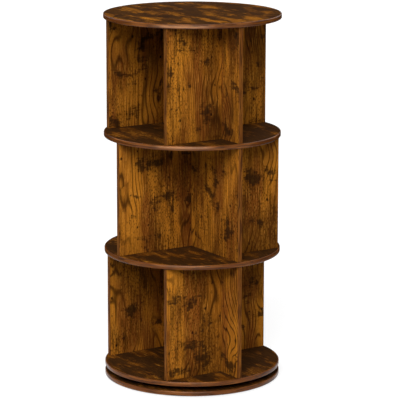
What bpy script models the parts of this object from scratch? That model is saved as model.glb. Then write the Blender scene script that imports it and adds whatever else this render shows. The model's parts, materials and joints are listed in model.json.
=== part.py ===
"""Revolving bookcase: round shelves with upright dividers between them, turning on a round base.

Metres, +Z up, origin on the floor under the middle of the base. The main dividers lie along Y.
In the bottom and top tiers the half divider is on the +X side and the two short dividers on the
-X side. The middle tier is the same layout turned half round.
"""

import math

import bmesh
import bpy
from mathutils import Matrix, Vector

# Round boards
BOARD_DIAMETER = 0.460
BOARD_THICKNESS = 0.012
BOARD_CHAMFER = 0.0008

# Tiers and their dividers
TIER_HEIGHT = 0.295
DIVIDER_THICKNESS = 0.012
DIVIDER_CHAMFER = 0.0006
DIVIDER_SETBACK = 0.004
SHORT_DIVIDER_OFFSET = 0.141

# Dowels in the dividers' edges, and the wood left past any blind hole in a board
DOWEL_DIAMETER = 0.008
DOWEL_INSET = 0.035
BLIND_FLOOR = 0.004

# Cam fittings of the main dividers
CAM_DIAMETER = 0.012
CAM_FLOOR = 0.0026
CAM_EDGE_DISTANCE = 0.024
CAM_OFFSET = 0.115
CAM_DRIVE_LENGTH = 0.008
CAM_DRIVE_WIDTH = 0.0016
CAM_DRIVE_DEPTH = 0.002
CAM_BOLT_THREAD_DIAMETER = 0.005
CAM_BOLT_COLLAR_DIAMETER = 0.006
CAM_BOLT_COLLAR_HEIGHT = 0.0012
CAM_BOLT_STEM_DIAMETER = 0.0032
CAM_BOLT_HEAD_DIAMETER = 0.0046
CAM_BOLT_HEAD_LENGTH = 0.003

# Holes of the middle tier lie this much further in, so that none meets one from the other side
STAGGER = 0.015

# Ring bearing
RACE_DIAMETER = 0.255
BALL_DIAMETER = 0.005
BALL_COUNT = 16
CAGE_THICKNESS = 0.001
CAGE_HEIGHT = 0.003
CAGE_CLEARANCE = 0.001
RING_HEIGHT = 0.010
RING_WIDTH = 0.021
RING_LIFT = 0.0024

# Countersunk screws of the bearing
SCREW_COUNT = 4
SCREW_DIAMETER = 0.004
SCREW_HEAD_DIAMETER = 0.008
SCREW_HEAD_RIM = 0.0004
SCREW_HEAD_HEIGHT = 0.0026
RING_THREAD_DEPTH = 0.006

# Glide feet
FOOT_DIAMETER = 0.030
FOOT_HEIGHT = 0.002
FOOT_CHAMFER = 0.0005
FOOT_INSET = 0.030
FOOT_COUNT = 6

# Clearance between touching pieces, and how far a cutter runs past the face that it opens
FIT_GAP = 0.0003
OVERCUT = 0.001

# Facets round each kind of piece
BOARD_FACETS = 72
RING_FACETS = 48
FITTING_FACETS = 8
CAM_FACETS = 12
FOOT_FACETS = 16
BALL_RINGS = 4

# Levels, from the floor up
BOARD_RADIUS = BOARD_DIAMETER / 2
BASE_BOTTOM = FOOT_HEIGHT
BASE_TOP = BASE_BOTTOM + BOARD_THICKNESS
SWIVEL_GAP = RING_HEIGHT + RING_LIFT + 2 * FIT_GAP
SHELF_PITCH = TIER_HEIGHT + BOARD_THICKNESS
BOTTOM_SHELF_BOTTOM = BASE_TOP + SWIVEL_GAP
SHELF_NAMES = ("bottom_shelf", "lower_shelf", "upper_shelf", "top_board")
SHELF_BOTTOMS = [BOTTOM_SHELF_BOTTOM + level * SHELF_PITCH for level in range(len(SHELF_NAMES))]
TIER_NAMES = ("bottom", "middle", "top")
TIER_BOTTOMS = [bottom + BOARD_THICKNESS for bottom in SHELF_BOTTOMS[:-1]]
BLIND_DEPTH = BOARD_THICKNESS - BLIND_FLOOR

# Dividers in plan
DIVIDER_REACH = BOARD_RADIUS - DIVIDER_SETBACK
HALF_THICKNESS = DIVIDER_THICKNESS / 2
MAIN_END = math.sqrt(DIVIDER_REACH**2 - HALF_THICKNESS**2)
SHORT_END = math.sqrt(DIVIDER_REACH**2 - (SHORT_DIVIDER_OFFSET + HALF_THICKNESS) ** 2)
INNER_END = HALF_THICKNESS + FIT_GAP

# Bearing
RACE_RADIUS = RACE_DIAMETER / 2
HALF_RING_GAP = CAGE_THICKNESS / 2 + CAGE_CLEARANCE
GROOVE_DEPTH = (BALL_DIAMETER / 2 + FIT_GAP) * math.sqrt(2)
GROOVE_HALF_WIDTH = GROOVE_DEPTH - HALF_RING_GAP
OUTER_RING_BOTTOM = BASE_TOP + FIT_GAP
OUTER_RING_TOP = OUTER_RING_BOTTOM + RING_HEIGHT
INNER_RING_TOP = BOTTOM_SHELF_BOTTOM - FIT_GAP
INNER_RING_BOTTOM = INNER_RING_TOP - RING_HEIGHT
RACE_HEIGHT = (OUTER_RING_TOP + INNER_RING_BOTTOM) / 2
BOLT_CIRCLE = RACE_RADIUS + (GROOVE_DEPTH + HALF_RING_GAP + RING_WIDTH) / 2
SCREW_CIRCLE = RACE_RADIUS - (GROOVE_DEPTH + HALF_RING_GAP + RING_WIDTH) / 2
FIRST_BOLT_ANGLE = 0
FIRST_SCREW_ANGLE = math.pi / SCREW_COUNT


def clear_scene():
    for obj in list(bpy.data.objects):
        bpy.data.objects.remove(obj, do_unlink=True)


def new_collection(name):
    collection = bpy.data.collections.new(name)
    bpy.context.scene.collection.children.link(collection)
    return collection


def new_material(name, color, roughness, metallic=0.0):
    material = bpy.data.materials.new(name)
    material.use_nodes = True
    shader = material.node_tree.nodes["Principled BSDF"]
    shader.inputs["Base Color"].default_value = (*color, 1.0)
    shader.inputs["Roughness"].default_value = roughness
    shader.inputs["Metallic"].default_value = metallic
    return material


def new_empty(name):
    """An empty on the turning axis, which the pieces of one moving group hang from."""
    empty = bpy.data.objects.new(name, None)
    PARTS.objects.link(empty)
    return empty


def add_part(name, mesh, material, parent, location=(0, 0, 0)):
    part = bpy.data.objects.new(name, mesh)
    mesh.materials.append(material)
    PARTS.objects.link(part)
    part.parent = parent
    part.location = location
    return part


def add_helper(name, mesh, location=(0, 0, 0)):
    helper = bpy.data.objects.new(name, mesh)
    CUTTERS.objects.link(helper)
    helper.location = location
    helper.hide_render = True
    helper.display_type = "WIRE"
    return helper


def combine(part, helper, operation):
    boolean = part.modifiers.new(f"{operation.lower()} {helper.name}", "BOOLEAN")
    boolean.operation = operation
    boolean.solver = "EXACT"
    boolean.object = helper


def chamfer(part, width):
    bevel = part.modifiers.new("edge chamfer", "BEVEL")
    bevel.width = width
    bevel.segments = 1
    bevel.limit_method = "ANGLE"
    bevel.angle_limit = math.radians(45)


def finish_mesh(name, shape):
    mesh = bpy.data.meshes.new(name)
    shape.to_mesh(mesh)
    shape.free()
    return mesh


def box_mesh(name, size):
    shape = bmesh.new()
    bmesh.ops.create_cube(shape, size=1, matrix=Matrix.Diagonal((*size, 1)))
    return finish_mesh(name, shape)


def add_rod(shape, middle, radius, length, facets, axis="Z"):
    """A capped round rod about its middle, along Z or along X."""
    turn = Matrix.Rotation(math.pi / 2, 4, "Y") if axis == "X" else Matrix.Identity(4)
    place = Matrix.Translation(middle) @ turn
    made = bmesh.ops.create_cone(
        shape, cap_ends=True, segments=facets, radius1=radius, radius2=radius, depth=length, matrix=place
    )
    return made["verts"]


def rods_mesh(name, middles, radius, length, facets, axis="Z"):
    """Separate rods alike in size, one about each of the middles."""
    shape = bmesh.new()
    for middle in middles:
        add_rod(shape, middle, radius, length, facets, axis)
    return finish_mesh(name, shape)


def round_off(mesh):
    mesh.shade_smooth()
    mesh.set_sharp_from_angle(angle=math.radians(30))
    return mesh


def turn_profile(obj, facets):
    screw = obj.modifiers.new("turned", "SCREW")
    screw.axis = "Z"
    screw.steps = facets
    screw.render_steps = facets
    screw.use_merge_vertices = True
    screw.merge_threshold = 0.00001
    screw.use_smooth_shade = True
    normals = obj.modifiers.new("flat faces stay flat", "WEIGHTED_NORMAL")
    normals.keep_sharp = True


def profile_mesh(name, points, closed):
    """A profile of (radius, height) points at +X, running down its outer side."""
    edges = [(i, i + 1) for i in range(len(points) - 1)]
    if closed:
        edges.append((len(points) - 1, 0))
    mesh = bpy.data.meshes.new(name)
    mesh.from_pydata([(radius, 0, height) for radius, height in points], edges, [])
    return mesh


def on_circle(radius, count, first_angle, height):
    """Evenly spaced points on a circle about the turning axis."""
    angles = [first_angle + 2 * math.pi * i / count for i in range(count)]
    return [Vector((radius * math.cos(a), radius * math.sin(a), height)) for a in angles]


def divider_plans(tier):
    """Name, low corner, high corner and dowel places in plan for each divider of a tier."""
    side = -1 if tier == "middle" else 1
    stagger = STAGGER if tier == "middle" else 0
    dowel = MAIN_END - DOWEL_INSET - stagger
    plans = [
        ("main", (-HALF_THICKNESS, -MAIN_END), (HALF_THICKNESS, MAIN_END), [(0, -dowel), (0, dowel)]),
    ]
    rows = (
        ("half", 0, side, MAIN_END),
        ("short_front", -SHORT_DIVIDER_OFFSET, -side, SHORT_END),
        ("short_back", SHORT_DIVIDER_OFFSET, -side, SHORT_END),
    )
    for name, y, toward, end in rows:
        low = (min(toward * INNER_END, toward * end), y - HALF_THICKNESS)
        high = (max(toward * INNER_END, toward * end), y + HALF_THICKNESS)
        dowels = [(toward * (INNER_END + DOWEL_INSET), y), (toward * (end - DOWEL_INSET), y)]
        plans.append((name, low, high, dowels))
    return plans


def cam_places(tier):
    """Where a tier's cam bolts stand along the main divider."""
    offset = CAM_OFFSET - (STAGGER if tier == "middle" else 0)
    return (("front", -offset), ("back", offset))


def dowel_places(tier):
    return [place for _, _, _, dowels in divider_plans(tier) for place in dowels]


def drill_board(board, tier, face, up):
    """Blind holes for one tier's dowels and cam bolts, in a board's top face (up 1) or underside (up -1)."""
    middle = face - up * (BLIND_DEPTH - OVERCUT) / 2
    length = BLIND_DEPTH + OVERCUT
    rows = (
        ("dowel_holes", dowel_places(tier), DOWEL_DIAMETER),
        ("bolt_holes", [(0, y) for _, y in cam_places(tier)], CAM_BOLT_THREAD_DIAMETER),
    )
    for name, places, diameter in rows:
        middles = [(x, y, middle) for x, y in places]
        mesh = rods_mesh(name, middles, diameter / 2 + FIT_GAP, length, FITTING_FACETS)
        combine(board, add_helper(f"{board.name}_{tier}_{name}", mesh), "DIFFERENCE")


def board_object(name, bottom, parent):
    middle = Vector((0, 0, BOARD_THICKNESS / 2))
    mesh = rods_mesh(name, [middle], BOARD_RADIUS, BOARD_THICKNESS, BOARD_FACETS)
    board = add_part(name, round_off(mesh), RUSTIC_BOARD, parent, (0, 0, bottom))
    chamfer(board, BOARD_CHAMFER)
    return board


def make_shelves():
    for level, name in enumerate(SHELF_NAMES):
        bottom = SHELF_BOTTOMS[level]
        shelf = board_object(name, bottom, CAROUSEL)
        if level < len(TIER_NAMES):
            drill_board(shelf, TIER_NAMES[level], bottom + BOARD_THICKNESS, 1)
        if level > 0:
            drill_board(shelf, TIER_NAMES[level - 1], bottom, -1)
        if level == 0:
            drill_screw_ends(shelf)


def make_dividers(tier, bottom):
    """Each divider, with rods right through it that stand out as dowels at both edges."""
    height = TIER_HEIGHT - 2 * FIT_GAP
    middle_height = bottom + TIER_HEIGHT / 2
    rod_length = TIER_HEIGHT + 2 * (BLIND_DEPTH - FIT_GAP)
    for kind, low, high, dowels in divider_plans(tier):
        name = f"{tier}_{kind}_divider"
        middle = Vector(((low[0] + high[0]) / 2, (low[1] + high[1]) / 2, middle_height))
        size = (high[0] - low[0], high[1] - low[1], height)
        divider = add_part(name, box_mesh(name, size), RUSTIC_DIVIDER, CAROUSEL, middle)
        chamfer(divider, DIVIDER_CHAMFER)
        places = [(x, y, middle_height) for x, y in dowels]
        rods = rods_mesh("dowels", places, DOWEL_DIAMETER / 2, rod_length, FITTING_FACETS)
        combine(divider, add_helper(f"{name}_dowels", rods), "UNION")
        if kind == "main":
            cut_cam_pockets(divider, tier, bottom)


def cam_ends(bottom):
    """For the lower and the upper edge of a tier: name, board face, and which way the bolt points."""
    return (("lower", bottom, 1), ("upper", bottom + TIER_HEIGHT, -1))


def cut_cam_pockets(divider, tier, bottom):
    pocket_depth = DIVIDER_THICKNESS - CAM_FLOOR + OVERCUT
    pocket_middle = HALF_THICKNESS + OVERCUT - pocket_depth / 2
    bore_length = CAM_EDGE_DISTANCE + OVERCUT
    pockets = []
    bores = []
    for _, face, up in cam_ends(bottom):
        for _, y in cam_places(tier):
            pockets.append((pocket_middle, y, face + up * CAM_EDGE_DISTANCE))
            bores.append((0, y, face + up * (bore_length / 2 - OVERCUT)))
    pocket_mesh = rods_mesh("pockets", pockets, CAM_DIAMETER / 2 + FIT_GAP, pocket_depth, CAM_FACETS, "X")
    bore_radius = CAM_BOLT_COLLAR_DIAMETER / 2 + FIT_GAP
    bore_mesh = rods_mesh("bores", bores, bore_radius, bore_length, FITTING_FACETS)
    combine(divider, add_helper(f"{divider.name}_cam_pockets", pocket_mesh), "DIFFERENCE")
    combine(divider, add_helper(f"{divider.name}_bolt_bores", bore_mesh), "DIFFERENCE")


def cam_bolt_profile():
    """Threaded end, collar, stem and head, from the board's face at height 0."""
    thread = CAM_BOLT_THREAD_DIAMETER / 2
    collar = CAM_BOLT_COLLAR_DIAMETER / 2
    stem = CAM_BOLT_STEM_DIAMETER / 2
    head = CAM_BOLT_HEAD_DIAMETER / 2
    head_top = CAM_EDGE_DISTANCE + CAM_BOLT_HEAD_LENGTH / 2
    head_bottom = CAM_EDGE_DISTANCE - CAM_BOLT_HEAD_LENGTH / 2
    collar_bottom = FIT_GAP
    collar_top = collar_bottom + CAM_BOLT_COLLAR_HEIGHT
    tip = FIT_GAP - BLIND_DEPTH
    return [
        (0, head_top),
        (head, head_top),
        (head, head_bottom),
        (stem, head_bottom),
        (stem, collar_top),
        (collar, collar_top),
        (collar, collar_bottom),
        (thread, collar_bottom),
        (thread, tip),
        (0, tip),
    ]


def cam_mesh(name):
    """A cam about its own middle, its drive slot facing +X."""
    length = DIVIDER_THICKNESS - CAM_FLOOR - 2 * FIT_GAP
    middle = Vector((HALF_THICKNESS - FIT_GAP - length / 2, 0, 0))
    return round_off(rods_mesh(name, [middle], CAM_DIAMETER / 2, length, CAM_FACETS, "X"))


def cam_slot_mesh(name, up):
    """The way in for the bolt's head: round about the bolt, and open at the cam's inner end."""
    radius = CAM_BOLT_HEAD_DIAMETER / 2 + FIT_GAP
    inside = CAM_BOLT_HEAD_LENGTH / 2 + FIT_GAP
    length = CAM_DIAMETER / 2 + OVERCUT + inside
    shape = bmesh.new()
    middle = Vector((0, 0, up * (inside - length / 2)))
    for vertex in add_rod(shape, middle, radius, length, FITTING_FACETS):
        if vertex.co.x < -radius / FITTING_FACETS:
            vertex.co.x -= DIVIDER_THICKNESS
    return finish_mesh(name, shape)


def cam_drive_mesh(name):
    return box_mesh(name, (2 * CAM_DRIVE_DEPTH, CAM_DRIVE_LENGTH, CAM_DRIVE_WIDTH))


def make_cam_fittings(tier, bottom):
    for end, face, up in cam_ends(bottom):
        for place, y in cam_places(tier):
            label = f"{end}_{place}"
            bolt_name = f"{tier}_cam_bolt_{label}"
            bolt_mesh = profile_mesh(bolt_name, cam_bolt_profile(), closed=False)
            bolt = add_part(bolt_name, bolt_mesh, BOLT_STEEL, CAROUSEL, (0, y, face))
            if up < 0:
                bolt.rotation_euler.x = math.pi
            turn_profile(bolt, FITTING_FACETS)
            lock_name = f"{tier}_cam_lock_{label}"
            at = Vector((0, y, face + up * CAM_EDGE_DISTANCE))
            lock = add_part(lock_name, cam_mesh(lock_name), CAM_ZINC, CAROUSEL, at)
            slot = add_helper(f"{lock_name}_slot", cam_slot_mesh("slot", up), at)
            combine(lock, slot, "DIFFERENCE")
            drive_at = at + Vector((HALF_THICKNESS - FIT_GAP, 0, 0))
            drive = add_helper(f"{lock_name}_drive", cam_drive_mesh("drive"), drive_at)
            combine(lock, drive, "DIFFERENCE")


def screw_profile(bottom, tip, clearance=0.0, overcut=0.0):
    """A countersunk screw pointing up; with a clearance and an overcut, the hole that takes it."""
    shank = SCREW_DIAMETER / 2 + clearance
    head = SCREW_HEAD_DIAMETER / 2 + clearance
    return [
        (0, tip),
        (shank, tip),
        (shank, bottom + SCREW_HEAD_HEIGHT),
        (head, bottom + SCREW_HEAD_RIM),
        (head, bottom - overcut),
        (0, bottom - overcut),
    ]


def add_turned_part(name, points, closed, facets, material, parent, location=(0, 0, 0)):
    part = add_part(name, profile_mesh(name, points, closed), material, parent, location)
    turn_profile(part, facets)
    return part


def cut_screw_holes(part, name, places, bottom, tip):
    for number, place in enumerate(places, 1):
        points = screw_profile(bottom, tip, FIT_GAP, OVERCUT)
        hole = add_helper(f"{part.name}_{name}_{number}", profile_mesh(name, points, closed=False), place)
        turn_profile(hole, FITTING_FACETS)
        combine(part, hole, "DIFFERENCE")


def drill_screw_ends(shelf):
    """Blind holes in the bottom shelf for the ends of the inner ring's screws."""
    middle = BOTTOM_SHELF_BOTTOM + (BLIND_DEPTH - OVERCUT) / 2
    places = on_circle(SCREW_CIRCLE, SCREW_COUNT, FIRST_SCREW_ANGLE, middle)
    mesh = rods_mesh("screw_ends", places, SCREW_DIAMETER / 2 + FIT_GAP, BLIND_DEPTH + OVERCUT, FITTING_FACETS)
    combine(shelf, add_helper("bottom_shelf_screw_ends", mesh), "DIFFERENCE")


def make_base():
    base = board_object("base_board", BASE_BOTTOM, BASE)
    bolt_places = on_circle(BOLT_CIRCLE, SCREW_COUNT, FIRST_BOLT_ANGLE, 0)
    cut_screw_holes(base, "bolt_hole", bolt_places, BASE_BOTTOM + FIT_GAP, BASE_TOP + OVERCUT)
    tip = OUTER_RING_BOTTOM + RING_THREAD_DEPTH
    for number, place in enumerate(bolt_places, 1):
        points = screw_profile(BASE_BOTTOM + FIT_GAP, tip)
        add_turned_part(f"base_bolt_{number}", points, False, FITTING_FACETS, BOLT_STEEL, BASE, place)
    foot_points = [
        (0, FOOT_HEIGHT - FIT_GAP),
        (FOOT_DIAMETER / 2, FOOT_HEIGHT - FIT_GAP),
        (FOOT_DIAMETER / 2, FOOT_CHAMFER),
        (FOOT_DIAMETER / 2 - FOOT_CHAMFER, 0),
        (0, 0),
    ]
    for number, place in enumerate(on_circle(BOARD_RADIUS - FOOT_INSET, FOOT_COUNT, 0, 0), 1):
        add_turned_part(f"glide_foot_{number}", foot_points, False, FOOT_FACETS, FOOT_RUBBER, BASE, place)


def groove_points(radius, apex):
    """A V groove round the race, from its upper edge to its lower edge."""
    return [
        (radius, RACE_HEIGHT + GROOVE_HALF_WIDTH),
        (apex, RACE_HEIGHT),
        (radius, RACE_HEIGHT - GROOVE_HALF_WIDTH),
    ]


def make_outer_ring():
    inside = RACE_RADIUS + HALF_RING_GAP
    outside = inside + RING_WIDTH
    points = [
        (outside, OUTER_RING_TOP),
        (outside, OUTER_RING_BOTTOM),
        (inside, OUTER_RING_BOTTOM),
        *reversed(groove_points(inside, RACE_RADIUS + GROOVE_DEPTH)),
        (inside, OUTER_RING_TOP),
    ]
    ring = add_turned_part("bearing_outer_ring", points, True, RING_FACETS, RING_ALUMINIUM, BASE)
    depth = RING_THREAD_DEPTH + FIT_GAP
    middle = OUTER_RING_BOTTOM + (depth - OVERCUT) / 2
    places = on_circle(BOLT_CIRCLE, SCREW_COUNT, FIRST_BOLT_ANGLE, middle)
    mesh = rods_mesh("threads", places, SCREW_DIAMETER / 2 + FIT_GAP, depth + OVERCUT, FITTING_FACETS)
    combine(ring, add_helper("bearing_outer_ring_threads", mesh), "DIFFERENCE")


def make_inner_ring():
    outside = RACE_RADIUS - HALF_RING_GAP
    inside = outside - RING_WIDTH
    points = [
        (outside, INNER_RING_TOP),
        *groove_points(outside, RACE_RADIUS - GROOVE_DEPTH),
        (outside, INNER_RING_BOTTOM),
        (inside, INNER_RING_BOTTOM),
        (inside, INNER_RING_TOP),
    ]
    ring = add_turned_part("bearing_inner_ring", points, True, RING_FACETS, RING_ALUMINIUM, CAROUSEL)
    head_bottom = INNER_RING_BOTTOM + FIT_GAP
    places = on_circle(SCREW_CIRCLE, SCREW_COUNT, FIRST_SCREW_ANGLE, 0)
    cut_screw_holes(ring, "screw_hole", places, head_bottom, INNER_RING_TOP + OVERCUT)
    tip = BOTTOM_SHELF_BOTTOM + BLIND_DEPTH - FIT_GAP
    for number, place in enumerate(places, 1):
        points = screw_profile(head_bottom, tip)
        add_turned_part(f"ring_screw_{number}", points, False, FITTING_FACETS, BOLT_STEEL, CAROUSEL, place)


def make_ball_cage():
    """The cage and its balls are one piece, which turns half as fast as the carousel."""
    outside = RACE_RADIUS + CAGE_THICKNESS / 2
    inside = RACE_RADIUS - CAGE_THICKNESS / 2
    top = RACE_HEIGHT + CAGE_HEIGHT / 2
    bottom = RACE_HEIGHT - CAGE_HEIGHT / 2
    points = [(outside, top), (outside, bottom), (inside, bottom), (inside, top)]
    cage = add_turned_part("bearing_ball_cage", points, True, RING_FACETS, CAGE_STEEL, CAGE_AXIS)
    shape = bmesh.new()
    for place in on_circle(RACE_RADIUS, BALL_COUNT, 0, RACE_HEIGHT):
        bmesh.ops.create_uvsphere(
            shape,
            u_segments=FITTING_FACETS,
            v_segments=BALL_RINGS,
            radius=BALL_DIAMETER / 2,
            matrix=Matrix.Translation(place),
        )
    balls = add_helper("bearing_balls", finish_mesh("bearing_balls", shape))
    combine(cage, balls, "UNION")


clear_scene()
PARTS = new_collection("revolving_bookcase")
CUTTERS = new_collection("cutters")

RUSTIC_BOARD = new_material("rustic brown board", (0.13, 0.052, 0.012), 0.45)
RUSTIC_DIVIDER = new_material("rustic brown divider", (0.16, 0.060, 0.010), 0.45)
RING_ALUMINIUM = new_material("bearing aluminium", (0.60, 0.61, 0.62), 0.35, 1.0)
CAGE_STEEL = new_material("ball cage steel", (0.45, 0.45, 0.46), 0.30, 1.0)
BOLT_STEEL = new_material("zinc plated steel", (0.55, 0.55, 0.53), 0.35, 1.0)
CAM_ZINC = new_material("cast zinc", (0.48, 0.48, 0.49), 0.45, 1.0)
FOOT_RUBBER = new_material("black rubber", (0.02, 0.02, 0.02), 0.80)

BASE = new_empty("base")
CAROUSEL = new_empty("carousel_axis")
CAGE_AXIS = new_empty("ball_cage_axis")

make_base()
make_outer_ring()
make_inner_ring()
make_ball_cage()
make_shelves()
for tier_name, tier_bottom in zip(TIER_NAMES, TIER_BOTTOMS):
    make_dividers(tier_name, tier_bottom)
    make_cam_fittings(tier_name, tier_bottom)
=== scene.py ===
# %% [markdown]
# # A revolving bookcase
# The bookcase is five round boards with upright dividers between them, and all but the lowest board
# turn on a ring bearing. The construction is already solved and comes in as a fixed frame. This lesson
# dresses it: boards and dividers are modelled again with smooth outlines and edge banding, the fittings
# get their threads, drives and chamfers, and every surface gets the finish of the real material.

# %% Load the construction
import itertools
import json
import math

import bmesh
import bpy
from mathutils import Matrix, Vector

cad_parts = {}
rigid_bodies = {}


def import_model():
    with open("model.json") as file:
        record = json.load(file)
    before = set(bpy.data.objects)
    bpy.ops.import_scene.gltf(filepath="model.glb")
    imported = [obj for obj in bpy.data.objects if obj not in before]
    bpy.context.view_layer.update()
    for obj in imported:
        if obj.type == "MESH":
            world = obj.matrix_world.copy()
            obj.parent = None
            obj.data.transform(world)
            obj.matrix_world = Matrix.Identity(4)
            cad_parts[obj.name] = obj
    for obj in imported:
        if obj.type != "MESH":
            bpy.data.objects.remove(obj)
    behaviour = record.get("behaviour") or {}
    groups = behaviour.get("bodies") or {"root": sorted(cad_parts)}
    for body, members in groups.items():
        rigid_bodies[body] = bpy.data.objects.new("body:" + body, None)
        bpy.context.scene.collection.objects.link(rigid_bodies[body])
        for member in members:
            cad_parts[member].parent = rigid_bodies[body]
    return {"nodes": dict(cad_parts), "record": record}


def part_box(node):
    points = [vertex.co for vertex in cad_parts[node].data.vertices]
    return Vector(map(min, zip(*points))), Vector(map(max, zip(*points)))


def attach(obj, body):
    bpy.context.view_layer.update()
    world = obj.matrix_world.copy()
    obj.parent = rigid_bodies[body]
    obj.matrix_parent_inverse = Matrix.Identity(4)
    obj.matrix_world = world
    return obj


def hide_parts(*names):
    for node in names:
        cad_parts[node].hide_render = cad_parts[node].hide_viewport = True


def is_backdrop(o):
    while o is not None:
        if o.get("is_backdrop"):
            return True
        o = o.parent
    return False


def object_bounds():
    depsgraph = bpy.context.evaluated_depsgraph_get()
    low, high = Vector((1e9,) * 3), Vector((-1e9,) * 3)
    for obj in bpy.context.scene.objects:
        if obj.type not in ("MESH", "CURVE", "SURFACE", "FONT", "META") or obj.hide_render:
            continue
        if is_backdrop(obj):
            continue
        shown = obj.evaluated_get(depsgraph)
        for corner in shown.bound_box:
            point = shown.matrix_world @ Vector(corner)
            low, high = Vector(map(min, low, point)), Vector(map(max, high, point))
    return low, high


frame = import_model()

cad_low, cad_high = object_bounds()
cad_mm = [round(side * 1000) for side in cad_high - cad_low]
print("pieces in the frame:", len(frame["nodes"]), "size in mm:", cad_mm)

# %% [markdown]
# ## The camera
# The product was photographed a little from above and from a good distance, so its uprights look almost
# parallel. A long lens far away gives that. The camera could be placed by eye, but a distance, a height
# and a bearing round the bookcase are easier to set and to understand, with one point for it to look
# at.

# %% The camera
CAMERA_BEARING = math.radians(-32.7)
CAMERA_DISTANCE = 5.916
CAMERA_HEIGHT = 1.736
CAMERA_ROLL = math.radians(0.12)
LENS_MM = 208.25
LOOK_HEIGHT = 0.467
LOOK_ASIDE = 0.0203


def toward(bearing, height=0.0):
    """The direction at a bearing from the front and a height above the level, both in radians."""
    level = math.cos(height)
    return Vector((math.sin(bearing) * level, -math.cos(bearing) * level, math.sin(height)))


aside = toward(CAMERA_BEARING + math.pi / 2)
look_at = aside * LOOK_ASIDE + Vector((0, 0, LOOK_HEIGHT))
camera_at = toward(CAMERA_BEARING) * CAMERA_DISTANCE + Vector((0, 0, CAMERA_HEIGHT))
bpy.ops.object.camera_add(location=camera_at)
camera = bpy.context.object
camera.rotation_euler = (look_at - camera_at).to_track_quat("-Z", "Y").to_euler()
camera.rotation_euler.rotate_axis("Z", CAMERA_ROLL)
camera.data.lens = LENS_MM
bpy.context.scene.camera = camera
print("camera looks down", round(math.degrees(math.pi / 2 - camera.rotation_euler.x), 1), "degrees")

# %% [markdown]
# ## Building a material
# A material is a small graph of nodes. Each node could be placed and linked by hand, line after line.
# One helper that adds a node, sets its properties and feeds its inputs keeps the graphs short enough to
# read. Colours are written the way a paint chart gives them, as sRGB hex values, and turned into the
# linear values that a renderer works with.

# %% Helpers for materials
def linear(hex_colour):
    """The linear RGBA of an sRGB hex value such as "#7A4A28"."""
    channels = [int(hex_colour[i:i + 2], 16) / 255 for i in (1, 3, 5)]
    return [c / 12.92 if c <= 0.04045 else ((c + 0.055) / 1.055) ** 2.4 for c in channels] + [1]


def add_node(tree, kind, settings, inputs):
    """Add a node, set its properties, and give each input a link or a fixed value."""
    node = tree.nodes.new(kind)
    for key, value in settings.items():
        setattr(node, key, value)
    for key, value in inputs.items():
        if isinstance(value, bpy.types.NodeSocket):
            tree.links.new(value, node.inputs[key])
        else:
            node.inputs[key].default_value = value
    return node


def new_material(name, roughness, metallic=0.0):
    """An empty material: its node tree and its shader."""
    material = bpy.data.materials.new(name)
    material.use_nodes = True
    shader = material.node_tree.nodes["Principled BSDF"]
    shader.inputs["Roughness"].default_value = roughness
    shader.inputs["Metallic"].default_value = metallic
    return material, material.node_tree, shader


print("a mid brown in linear values:", [round(v, 3) for v in linear("#7A4A28")])

# %% [markdown]
# ## Printed wood decor
# The boards are chipboard faced with melamine paper, printed as aged, oiled wood and pressed with a
# fine grain. To the eye that is matt amber brown wood, in lighter and darker bands with pores, growth
# lines, small dark knots and rubbed-in smudges. A photograph of wood could be wrapped on it, but noise
# that is stretched along the grain can be made as large as needed and never repeats. Each pattern is
# given by its real width across the grain and its length along it, in millimetres.

# %% Patterns of the print
MM = 0.001
GRAIN_MAP = "grain"
# Width and length in mm, then how many finer layers the noise has and how strong they are.
DECOR_NOISE = {
    "figure": (78, 300, 1.0, 0.4),
    "zone": (105, 230, 1.0, 0.5),
    "tone": (58, 240, 2.0, 0.5),
    "shade": (80, 340, 2.0, 0.5),
    "streak": (7, 125, 3.0, 0.62),
    "fibre": (3.0, 50, 3.0, 0.65),
    "chatter": (22, 3.6, 2.0, 0.6),
    # Real pores are a few tenths of a millimetre wide. They are drawn coarser, or they wouldn't show.
    "pore": (2.4, 7, 1.0, 0.5),
}


def printed_pattern(tree, sheet, across, along, detail, rough):
    """One stretched pattern on the printed sheet."""
    scale = (1 / (across * MM), 1 / (along * MM), 1)
    laid = add_node(tree, "ShaderNodeMapping", {}, {"Vector": sheet, "Scale": scale})
    noise = add_node(tree, "ShaderNodeTexNoise", {"noise_dimensions": "2D"},
                     {"Vector": laid.outputs[0], "Scale": 1, "Detail": detail, "Roughness": rough})
    return noise.outputs[0]


print("patterns of the print:", list(DECOR_NOISE))

# %% [markdown]
# ## Knots and checks
# A knot is where a branch grew and a check is a short crack, both dark and frayed along the fibres.
# They could be put in place one by one, but on real wood they lie scattered. A Voronoi pattern divides
# the sheet into cells, each with a middle and a colour of its own. A mark sits at the middle, and the
# colour settles by chance whether the cell holds one and how big it is.

# %% Knots and checks
# The ends of a Map Range node, in order.
RANGE = ("From Min", "From Max", "To Min", "To Max")
# Cell width and length in mm, spot size and frayed rim as shares of a cell, and how many cells stay empty.
SPOTS = {"knot": (96, 150, 0.085, 0.07, 0.5), "check": (46, 66, 0.07, 0.06, 0.62)}
# A spot's core as a share of its size, and how far the grain bends round it as a share of a cell.
CORE_SHARE = 0.3
FLOW_REACH = 0.5


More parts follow.
